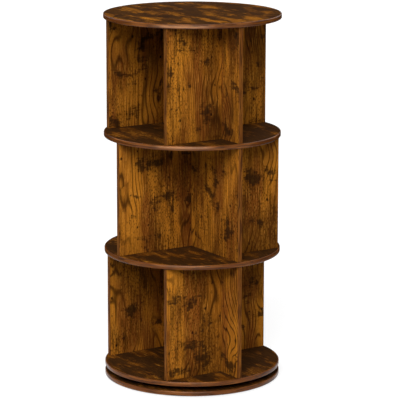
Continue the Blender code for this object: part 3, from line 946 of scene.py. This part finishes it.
def draw_outline(points):
    """One point, drawn out from place to place along an outline of radius and height."""
    start_clean()
    bpy.ops.mesh.primitive_plane_add(size=MM)
    piece = bpy.context.object
    bpy.ops.object.mode_set(mode="EDIT")
    bpy.ops.mesh.select_mode(type="VERT")
    bpy.ops.mesh.select_all(action="SELECT")
    bpy.ops.mesh.merge(type="CENTER")
    bpy.ops.transform.translate(value=(points[0][0], 0, points[0][1]))
    for (radius, height), (next_radius, next_height) in zip(points, points[1:]):
        step = (next_radius - radius, 0, next_height - height)
        bpy.ops.mesh.extrude_vertices_move(TRANSFORM_OT_translate={"value": step})
    bpy.ops.mesh.select_all(action="SELECT")
    return piece


def turned(points, steps=FINE_STEPS):
    """An outline spun right round the Z axis."""
    piece = draw_outline(points)
    bpy.ops.mesh.spin(steps=steps, angle=2 * math.pi, center=(0, 0, 0), axis=(0, 0, 1))
    close_shape()
    return piece


print("fittings are turned in", FINE_STEPS, "steps")

# %% [markdown]
# ## Threads
# A screw thread is a ridge that winds round a core. A bump in the material could hint at it, but its
# outline would stay straight. So one tooth is drawn as an outline, wound up the axis by a Screw
# modifier, and cut level at both ends with bisect, which also closes it.

# %% Threads
THREAD_STEPS = 24
# Turns wound below a thread and cut off again, so that the cuts fall between the points of the tooth.
LEAD_IN_TURNS = 2.3


def threaded_rod(core, crest, pitch, bottom, top):
    """One tooth of a thread, wound up the axis and cut level at both ends."""
    start = bottom - LEAD_IN_TURNS * pitch
    rod = draw_outline([(core, start), (crest, start + pitch / 2), (core, start + pitch)])
    bpy.ops.object.mode_set(mode="OBJECT")
    wind = rod.modifiers.new("wind", "SCREW")
    wind.screw_offset = pitch
    wind.iterations = math.ceil((top - start) / pitch) + 1
    wind.steps = wind.render_steps = THREAD_STEPS
    bpy.ops.object.modifier_apply(modifier=wind.name)
    bpy.ops.object.mode_set(mode="EDIT")
    bpy.ops.mesh.select_all(action="SELECT")
    bpy.ops.mesh.remove_doubles(threshold=MERGE)
    for height, cut_off in ((bottom, "clear_inner"), (top, "clear_outer")):
        bpy.ops.mesh.select_all(action="SELECT")
        bpy.ops.mesh.bisect(
            plane_co=(0, 0, height), plane_no=(0, 0, 1), use_fill=True, threshold=MERGE, **{cut_off: True})
    close_shape()
    return rod


print("threads are wound in", THREAD_STEPS, "steps a turn")

# %% [markdown]
# ## Screws
# Four countersunk machine screws hold the bearing's outer ring from below the base, and four more hold
# its inner ring under the bottom shelf. Each could be modelled in its place, but they are alike: one of
# each length is made on the axis and copied. It is a turned head joined to a wound thread, with a cross
# recess cut by two tapered bars.

# %% Screws
SCREW_RADIUS = 2.0 * MM
SCREW_PITCH = 0.7 * MM
THREAD_DEPTH = 0.43 * MM
HEAD_RADIUS = 4.0 * MM
HEAD_RIM = 0.4 * MM
HEAD_HEIGHT = 2.6 * MM
HEAD_ARRIS = 0.15 * MM
CROSS_LENGTH = 4.4 * MM
CROSS_WIDTH = 0.9 * MM
CROSS_DEPTH = 1.9 * MM
CROSS_TAPER = 0.45
# How far a turned head reaches into the thread that is joined to it.
STUB = 1.0 * MM


def drive_bar(length, width, depth):
    """A tapered bar along X and Y that cuts one arm of a drive, its mouth at height 0 and pointing up."""
    bar = sized_box(Vector((-length / 2, -width / 2, -depth)), Vector((length / 2, width / 2, depth)))
    bpy.ops.object.mode_set(mode="EDIT")
    pick(bar, "VERT", lambda point: point.co.z > 0)
    bpy.ops.transform.resize(value=(CROSS_TAPER, CROSS_TAPER, 1), center_override=(0, 0, depth))
    start_clean()
    return bar


def countersunk_screw(bottom, tip):
    """A screw that points up: turned head, wound thread and cross recess."""
    neck = bottom + HEAD_HEIGHT
    core = SCREW_RADIUS - THREAD_DEPTH
    neck_radius = core + THREAD_DEPTH / 2
    screw = turned([
        (0, neck + STUB), (neck_radius, neck + STUB), (neck_radius, neck), (HEAD_RADIUS, bottom + HEAD_RIM),
        (HEAD_RADIUS, bottom + HEAD_ARRIS), (HEAD_RADIUS - HEAD_ARRIS, bottom), (0, bottom)])
    carve(screw, threaded_rod(core, SCREW_RADIUS, SCREW_PITCH, neck, tip), "UNION")
    for along_x, along_y in ((CROSS_LENGTH, CROSS_WIDTH), (CROSS_WIDTH, CROSS_LENGTH)):
        bar = drive_bar(along_x, along_y, CROSS_DEPTH)
        bar.location.z = bottom
        carve(screw, bar, "DIFFERENCE")
    return screw


for kind, body in (("base_bolt", "base"), ("ring_screw", "carousel")):
    places = nodes_with(kind)
    low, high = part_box(next(iter(places)))
    screw = countersunk_screw(low.z, high.z)
    for node, middle in places.items():
        copy = copy_to(screw, (middle.x, middle.y, 0))
        finish_piece(copy, f"{node}_threaded", zinc_plate, body, "zinc_plated_steel", node)
    print(kind, "faces:", len(screw.data.polygons), "length in mm:", round((high.z - low.z) * 1000, 1))
    bpy.data.objects.remove(screw, do_unlink=True)

# %% [markdown]
# ## Screw holes
# The base is countersunk from below, so that the screws' heads lie flush with it. The holes could be
# straight, but a countersunk head needs its cone. The screw's own outline, a little wider, is spun into
# a bit that cuts the fitting hole. The other four screws end in plain blind holes in the bottom shelf.

# %% Screw holes
# How far a bit reaches past a face that it cuts through.
OVERCUT = 1.0 * MM


def countersink(bottom, tip):
    """The outline of a countersunk hole for a screw."""
    shank, head = SCREW_RADIUS + FIT_GAP, HEAD_RADIUS + FIT_GAP
    return [(0, tip), (shank, tip), (shank, bottom + HEAD_HEIGHT), (head, bottom + HEAD_RIM),
            (head, bottom - OVERCUT), (0, bottom - OVERCUT)]


def bore(piece, screws, outline, lining=None):
    """Cut a hole of one outline into a piece at the place of each screw."""
    for middle in nodes_with(screws).values():
        bit = turned(outline)
        bit.location = (middle.x, middle.y, 0)
        if lining:
            bit.data.materials.append(lining)
        carve(piece, bit, "DIFFERENCE")


bolt_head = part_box("base_bolt_1")[0].z
base_panel = bpy.data.objects["base_board_panel"]
bore(base_panel, "base_bolt", countersink(bolt_head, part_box("base_board")[1].z + OVERCUT), chipboard)
for node, middle in nodes_with("ring_screw").items():
    bottom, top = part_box("bottom_shelf")[0].z - OVERCUT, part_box(node)[1].z + FIT_GAP
    board_holes["bottom_shelf"].append((middle.xy, SCREW_RADIUS + FIT_GAP, bottom, top))
print("faces of the bored base panel:", len(base_panel.data.polygons))

# %% [markdown]
# ## Cam locks
# A main divider is pulled tight to its boards by cams: a bolt in the board reaches into the divider's
# edge, and a zinc cam, turned with a screwdriver, grips its head. A plain disc would fill the pocket,
# but the real one has a dished face, a cast arris, a cross drive and a way in for the bolt's head, so
# those are inset, bevelled and cut. The upper ones are the same cam turned over.

# %% Cam locks
CAM_RIM = 0.9 * MM
CAM_DISH = 0.4 * MM
CAM_ARRIS = 0.4 * MM
CAM_ARRIS_STEPS = 3
CAM_SLOT_LENGTH = 8.0 * MM
CAM_CROSS_LENGTH = 5.6 * MM
CAM_CROSS_WIDTH = 1.6 * MM
CAM_CROSS_DEPTH = 2.4 * MM
BOLT_HEAD_RADIUS = 2.3 * MM
BOLT_HEAD_LENGTH = 3.0 * MM


def cam_disc(inner, outer, radius):
    """A short cylinder along X, dished on its outer face and with both rims eased."""
    start_clean()
    bpy.ops.mesh.primitive_cylinder_add(
        vertices=FINE_STEPS, radius=radius, depth=outer - inner,
        location=((inner + outer) / 2, 0, 0), rotation=(0, math.pi / 2, 0))
    cam = bpy.context.object
    bpy.ops.object.transform_apply()
    bpy.ops.object.mode_set(mode="EDIT")
    pick(cam, "FACE", lambda face: face.normal.x > FACING)
    bpy.ops.mesh.inset(thickness=CAM_RIM)
    bpy.ops.mesh.extrude_region_move(TRANSFORM_OT_translate={"value": (-CAM_DISH, 0, 0)})
    pick(cam, "EDGE", lambda edge: abs(edge.verts[0].co.x - edge.verts[1].co.x) < MERGE
         and all(math.hypot(point.co.y, point.co.z) > radius - MERGE for point in edge.verts))
    bpy.ops.mesh.bevel(offset=CAM_ARRIS, segments=CAM_ARRIS_STEPS)
    close_shape()
    return cam


def bolt_way(radius):
    """The way in for the bolt's head, from below, drawn out to the cam's inner end."""
    inside = BOLT_HEAD_LENGTH / 2 + FIT_GAP
    reach = radius + OVERCUT
    start_clean()
    bpy.ops.mesh.primitive_cylinder_add(
        vertices=FINE_STEPS, radius=BOLT_HEAD_RADIUS + FIT_GAP, depth=inside + reach,
        location=(0, 0, (inside - reach) / 2))
    way = bpy.context.object
    bpy.ops.object.transform_apply()
    bpy.ops.object.mode_set(mode="EDIT")
    pick(way, "VERT", lambda point: point.co.x < -MERGE)
    bpy.ops.transform.translate(value=(-2 * radius, 0, 0))
    start_clean()
    return way


cams = nodes_with("cam_lock")
low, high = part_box(next(iter(cams)))
cam_radius = (high.z - low.z) / 2
cam = cam_disc(low.x, high.x, cam_radius)
carve(cam, bolt_way(cam_radius), "DIFFERENCE")
for upright, level in ((CAM_SLOT_LENGTH, CAM_CROSS_WIDTH), (CAM_CROSS_WIDTH, CAM_CROSS_LENGTH)):
    bar = drive_bar(upright, level, CAM_CROSS_DEPTH)
    bar.rotation_euler.y = -math.pi / 2
    bar.location.x = high.x
    carve(cam, bar, "DIFFERENCE")
for node, middle in cams.items():
    copy = copy_to(cam, (0, middle.y, middle.z), math.pi if "upper" in node else 0)
    finish_piece(copy, f"{node}_cast", cast_zinc, "carousel", "cast_zinc", node)
print("cam faces:", len(cam.data.polygons), "copies:", len(cams))
bpy.data.objects.remove(cam, do_unlink=True)

# %% [markdown]
# ## Cam bolts
# A cam bolt is screwed into a board by its coarse thread as far as its collar, and its head on a thin
# stem is what the cam pulls. It could be stacked from cylinders, but like the screws it is turned from
# one outline and joined to a wound thread, then copied, the upper ones turned over.

# %% Cam bolts
BOLT_STEM_RADIUS = 1.6 * MM
BOLT_COLLAR_RADIUS = 3.0 * MM
BOLT_COLLAR_HEIGHT = 1.2 * MM
BOLT_THREAD_RADIUS = 2.5 * MM
BOLT_THREAD_CORE = 1.7 * MM
BOLT_THREAD_LENGTH = 8.0 * MM
BOLT_PITCH = 1.4 * MM
BOLT_ARRIS = 0.3 * MM


def cam_bolt(tip, collar, head_top):
    """A bolt that points up: coarse thread for chipboard, collar, stem and a head for the cam to grip."""
    collar_top = collar + BOLT_COLLAR_HEIGHT
    head_bottom = head_top - BOLT_HEAD_LENGTH
    neck = BOLT_THREAD_CORE + BOLT_ARRIS
    bolt = turned([
        (0, head_top), (BOLT_HEAD_RADIUS - BOLT_ARRIS, head_top), (BOLT_HEAD_RADIUS, head_top - BOLT_ARRIS),
        (BOLT_HEAD_RADIUS, head_bottom + BOLT_ARRIS), (BOLT_STEM_RADIUS, head_bottom),
        (BOLT_STEM_RADIUS, collar_top), (BOLT_COLLAR_RADIUS - BOLT_ARRIS, collar_top),
        (BOLT_COLLAR_RADIUS, collar_top - BOLT_ARRIS), (BOLT_COLLAR_RADIUS, collar), (neck, collar),
        (neck, collar - STUB), (0, collar - STUB)])
    thread = threaded_rod(BOLT_THREAD_CORE, BOLT_THREAD_RADIUS, BOLT_PITCH, tip, collar - STUB / 2)
    carve(bolt, thread, "UNION")
    return bolt


bolts = nodes_with("cam_bolt")
low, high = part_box(next(iter(bolts)))
bolt_length = high.z - low.z
bolt = cam_bolt(-bolt_length / 2, BOLT_THREAD_LENGTH - bolt_length / 2, bolt_length / 2)
for node, middle in bolts.items():
    copy = copy_to(bolt, middle, math.pi if "upper" in node else 0)
    finish_piece(copy, f"{node}_threaded", zinc_plate, "carousel", "zinc_plated_steel", node)
print("cam bolt faces:", len(bolt.data.polygons), "length in mm:", round(bolt_length * 1000, 1))
bpy.data.objects.remove(bolt, do_unlink=True)

# %% [markdown]
# ## Holes in the boards
# Now every hole in the boards is known: those for dowels and screws, and with them the cam bolts'
# holes. Each could be cut as soon as it is known, but one cut for each board is quicker and leaves a
# cleaner mesh.

# %% Holes in the boards
for tier, board_below, board_above in TIERS:
    radius = BOLT_THREAD_RADIUS + FIT_GAP
    for node, middle in nodes_with(f"{tier}_cam_bolt").items():
        low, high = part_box(node)
        board, bottom, top = board_below, low.z - FIT_GAP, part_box(board_below)[1].z + OVERCUT
        if "upper" in node:
            board, bottom, top = board_above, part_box(board_above)[0].z - OVERCUT, high.z + FIT_GAP
        board_holes[board].append((middle.xy, radius, bottom, top))
for board, holes in board_holes.items():
    if holes:
        drill(bpy.data.objects[f"{board}_panel"], holes)
        print(board, "holes:", len(holes))

# %% [markdown]
# ## Bearing rings
# The bookcase turns on two aluminium rings with balls between them. Each ring is a turned outline with
# a round groove for the balls. A torus could be cut from a plain ring, but an arc in the outline gives
# the same groove with no cutting. The outer ring is tapped for its screws, and the inner one is
# countersunk for its own.

# %% Bearing rings
RING_WIDTH = 21 * MM
RING_EASE = 0.4 * MM
RACE_HALF_GAP = 1.5 * MM
BALL_RADIUS = 2.5 * MM
ARC_STEPS = 12
INNER_RING, OUTER_RING = "bearing_inner_ring", "bearing_outer_ring"
RACE_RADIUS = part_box(INNER_RING)[1].x + RACE_HALF_GAP
RACE_HEIGHT = (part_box(INNER_RING)[0].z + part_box(OUTER_RING)[1].z) / 2


def soften(piece, width):
    """Ease every sharp edge with a Bevel modifier, applied."""
    select_only(piece)
    ease = piece.modifiers.new("ease", "BEVEL")
    ease.width = width
    ease.segments = ARRIS_STEPS
    ease.limit_method = "ANGLE"
    ease.angle_limit = CORNER
    bpy.ops.object.modifier_apply(modifier=ease.name)


def arc(radius, spread, centre, outward):
    """Points along an arc of radius and height, from below its centre to above it."""
    angles = [spread * (2 * step / ARC_STEPS - 1) for step in range(ARC_STEPS + 1)]
    return [(centre[0] + outward * radius * math.cos(a), centre[1] + radius * math.sin(a)) for a in angles]


def grooved_ring(node, outward):
    """A ring beside the race, its groove just clear of the balls."""
    low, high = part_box(node)
    near = RACE_RADIUS + outward * RACE_HALF_GAP
    far = near + outward * RING_WIDTH
    groove_radius = BALL_RADIUS + FIT_GAP
    spread = math.acos(RACE_HALF_GAP / groove_radius)
    groove = arc(groove_radius, spread, (RACE_RADIUS, RACE_HEIGHT), outward)
    outline = [(far, high.z), (far, low.z), (near, low.z), *groove, (near, high.z), (far, high.z)]
    ring = turned(outline, ROUND_STEPS)
    soften(ring, RING_EASE)
    return ring


outer_ring = grooved_ring(OUTER_RING, 1)
tapped = SCREW_RADIUS + FIT_GAP
bottom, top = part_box(OUTER_RING)[0].z - OVERCUT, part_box("base_bolt_1")[1].z + FIT_GAP
bore(outer_ring, "base_bolt", [(0, top), (tapped, top), (tapped, bottom), (0, bottom)])
inner_ring = grooved_ring(INNER_RING, -1)
screw_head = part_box("ring_screw_1")[0].z
bore(inner_ring, "ring_screw", countersink(screw_head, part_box(INNER_RING)[1].z + OVERCUT))
for ring, node in ((outer_ring, OUTER_RING), (inner_ring, INNER_RING)):
    finish_piece(ring, f"{node}_turned", aluminium, body_of(node), "bearing_aluminium", node)
print("race radius in mm:", round(RACE_RADIUS * 1000, 1), "height:", round(RACE_HEIGHT * 1000, 1))

# %% [markdown]
# ## Balls and their cage
# Sixteen polished balls run in the groove, held apart by a thin steel cage that travels at half the
# speed of the shelves. A ready-made sphere has its poles up and down too, but a half circle spun round
# keeps to the same few tools. One ball is made and copied round the race, and all are joined to the
# cage.

# %% Balls and their cage
BALL_COUNT = 16
CAGE_HALF_HEIGHT = 1.5 * MM
CAGE_HALF_THICKNESS = 0.5 * MM
CAGE_EASE = 0.15 * MM

inside, outside = RACE_RADIUS - CAGE_HALF_THICKNESS, RACE_RADIUS + CAGE_HALF_THICKNESS
bottom, top = RACE_HEIGHT - CAGE_HALF_HEIGHT, RACE_HEIGHT + CAGE_HALF_HEIGHT
outline = [(outside, top), (outside, bottom), (inside, bottom), (inside, top), (outside, top)]
cage = turned(outline, ROUND_STEPS)
soften(cage, CAGE_EASE)
cage.data.materials.append(cage_steel)
ball = turned(arc(BALL_RADIUS, math.pi / 2, (0, 0), 1), THREAD_STEPS)
ball.data.materials.append(ball_steel)
balls = []
for number in range(BALL_COUNT):
    angle = 2 * math.pi * number / BALL_COUNT
    place = (RACE_RADIUS * math.cos(angle), RACE_RADIUS * math.sin(angle), RACE_HEIGHT)
    balls.append(copy_to(ball, place))
bpy.data.objects.remove(ball, do_unlink=True)
carve(cage, joined(balls), "UNION")
node = "bearing_ball_cage"
finish_piece(cage, f"{node}_round", cage_steel, "ball_cage", "ball_cage_steel", node)
print("balls:", BALL_COUNT, "faces with their cage:", len(cage.data.polygons))

# %% [markdown]
# ## Glides
# Six thin rubber glides keep the base off the floor and stop it sliding. A plain disc would do from
# above, but the underside shows when the bookcase is tipped. So each is turned with a rounded lower
# edge and a shallow ring groove, which gives the rubber its grip, and its edges are eased.

# %% Glides
GLIDE_ROUND = 0.6 * MM
# How far the middle of the rounded edge lies inside the square corner.
GLIDE_CUT = 0.18 * MM
GROOVE_SPAN = (0.52, 0.62)
GROOVE_DEPTH = 0.4 * MM
GLIDE_EASE = 0.12 * MM

glides = nodes_with("glide_foot")
low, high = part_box(next(iter(glides)))
radius = (high.x - low.x) / 2
inner, outer = (share * radius for share in GROOVE_SPAN)
glide = turned([
    (0, high.z), (radius, high.z), (radius, GLIDE_ROUND), (radius - GLIDE_CUT, GLIDE_CUT),
    (radius - GLIDE_ROUND, 0), (outer, 0), (outer, GROOVE_DEPTH), (inner, GROOVE_DEPTH), (inner, 0), (0, 0)])
soften(glide, GLIDE_EASE)
for node, middle in glides.items():
    copy = copy_to(glide, (middle.x, middle.y, 0))
    finish_piece(copy, f"{node}_moulded", rubber, "base", "foot_rubber", node)
print("glides:", len(glides), "faces each:", len(glide.data.polygons))
bpy.data.objects.remove(glide, do_unlink=True)

# %% [markdown]
# ## Floor
# The bookcase stands on a wide studio floor with a low wall far round it, and both end up plain white
# but for the shadow close to the base. White paint alone would throw too much light back up at the
# boards. So floor and wall are light grey, and they are lifted to white only where the camera or a
# reflection sees them.

# %% Floor
FLOOR_RADIUS = 40
FLOOR_STEPS = 96
SWEEP_HEIGHT = 5
STUDIO_GREY = "#A8A8A8"
STUDIO_ROUGHNESS = 0.9
# How much brighter than they are the floor and the wall look to the camera and in reflections.
STUDIO_LIFT = {"pale_studio_floor": 0.64, "pale_studio_wall": 0.95}


def studio_paint(name, lift):
    """Matt grey paint that looks brighter to the camera and in reflections."""
    material, tree, shader = new_material(name, STUDIO_ROUGHNESS)
    shader.inputs["Base Color"].default_value = linear(STUDIO_GREY)
    shader.inputs["Specular IOR Level"].default_value = 0.0
    ray = add_node(tree, "ShaderNodeLightPath", {}, {})
    seen = ray.outputs["Is Camera Ray"]
    for other in ("Is Glossy Ray", "Is Transmission Ray"):
        seen = add_node(tree, "ShaderNodeMath", {"operation": "MAXIMUM"},
                        {0: seen, 1: ray.outputs[other]}).outputs[0]
    strength = add_node(tree, "ShaderNodeMath", {"operation": "MULTIPLY"}, {0: seen, 1: lift})
    glow = add_node(tree, "ShaderNodeEmission", {}, {"Strength": strength.outputs[0]})
    both = add_node(tree, "ShaderNodeAddShader", {}, {0: shader.outputs[0], 1: glow.outputs[0]})
    tree.links.new(both.outputs[0], tree.nodes["Material Output"].inputs["Surface"])
    return material


start_clean()
bpy.ops.mesh.primitive_circle_add(vertices=FLOOR_STEPS, radius=FLOOR_RADIUS, fill_type="NGON")
floor = bpy.context.object
floor.name = "studio_floor"
bpy.ops.object.mode_set(mode="EDIT")
pick(floor, "EDGE", lambda edge: True)
bpy.ops.mesh.extrude_edges_move(TRANSFORM_OT_translate={"value": (0, 0, SWEEP_HEIGHT)})
start_clean()
for name, lift in STUDIO_LIFT.items():
    floor.data.materials.append(studio_paint(name, lift))
for face in floor.data.polygons:
    face.material_index = 0 if abs(face.normal.z) > FACING else 1
floor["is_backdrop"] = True
print("floor faces:", len(floor.data.polygons))

# %% [markdown]
# ## Soft light
# Soft studio light falls on it: a large main light from the front left, a broad one from above, and
# weaker ones from behind on both sides, so that the back is lit too. Area lamps could stand round it,
# but they would light a wide floor unevenly. Suns with a wide angle act as very large soft boxes far
# away.

# %% Soft light
SUN_DISTANCE = 4
WORLD_STRENGTH = 0.04
# Bearing and height in degrees, strength in W/m2, and apparent size in degrees.
LIGHTS = {
    "main_light": (-40, 40, 3.5, 42),
    "top_light": (-35, 76, 0.3, 70),
    "left_back_light": (-155, 36, 1.2, 60),
    "right_back_light": (110, 40, 1.2, 60),
}

for name, (bearing, height, strength, size) in LIGHTS.items():
    away = toward(math.radians(bearing), math.radians(height))
    bpy.ops.object.light_add(type="SUN", location=away * SUN_DISTANCE)
    lamp = bpy.context.object
    lamp.name = name
    lamp.rotation_euler = away.to_track_quat("Z", "Y").to_euler()
    lamp.data.energy = strength
    lamp.data.angle = math.radians(size)
world = bpy.data.worlds.new("studio_walls")
world.use_nodes = True
world.node_tree.nodes["Background"].inputs["Color"].default_value = linear("#FFFFFF")
world.node_tree.nodes["Background"].inputs["Strength"].default_value = WORLD_STRENGTH
bpy.context.scene.world = world
bpy.context.scene.view_settings.view_transform = "Standard"
print("lights:", list(LIGHTS))

# %% [markdown]
# ## Highlights on the bands
# In a photo studio the gloss on a curved edge is shaped with cards: a bright one where the highlight
# should be, and black cloth where the edge should turn dark. Light and dark could be painted on the
# band, but they would turn with the shelves. So a long low warm card stands in front and a curved black
# flag round the back and sides, and only reflections see them.

# %% Highlights on the bands
CARD_BEARING = math.radians(-44)
CARD_DISTANCE = 3.0
CARD_HEIGHT = 0.46
CARD_SIZE = (4.0, 0.60)
CARD_WATTS = 230
CARD_COLOUR = "#FFD4AC"
FLAG_RADIUS = 1.2
FLAG_TALL = 1.0
FLAG_COLOUR = "#0C0C0C"
# Half the angle of the flag's open front, which faces the camera.
FLAG_HALF_OPEN = math.radians(75)

card_from = toward(CARD_BEARING)
bpy.ops.object.light_add(type="AREA", location=card_from * CARD_DISTANCE + UP * CARD_HEIGHT)
card = bpy.context.object
card.name = "warm_card"
card.rotation_euler = card_from.to_track_quat("Z", "Y").to_euler()
card.data.shape = "RECTANGLE"
card.data.size, card.data.size_y = CARD_SIZE
card.data.energy = CARD_WATTS
card.data.color = linear(CARD_COLOUR)[:3]
card.visible_camera = False
card.visible_diffuse = False

felt, tree, shader = new_material("black_felt", 1.0)
shader.inputs["Base Color"].default_value = linear(FLAG_COLOUR)
shader.inputs["Specular IOR Level"].default_value = 0.0
flag = draw_outline([(FLAG_RADIUS, 0), (FLAG_RADIUS, FLAG_TALL)])
bpy.ops.mesh.spin(
    steps=FINE_STEPS, angle=2 * (math.pi - FLAG_HALF_OPEN), center=(0, 0, 0), axis=(0, 0, 1))
start_clean()
flag.name = "black_flag"
flag.rotation_euler.z = CAMERA_BEARING - math.pi / 2 - FLAG_HALF_OPEN
flag.data.materials.append(felt)
flag.visible_camera = False
flag.visible_diffuse = False
flag.visible_shadow = False
flag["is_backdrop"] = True
print("faces of the flag:", len(flag.data.polygons))

# %% [markdown]
# ## The dressed size
# The dressed bookcase must be as big as its construction, so its size is printed, like the frame's at the
# start.

# %% The dressed size
low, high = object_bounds()
print("dressed size in mm:", [round(v * 1000, 1) for v in high - low])
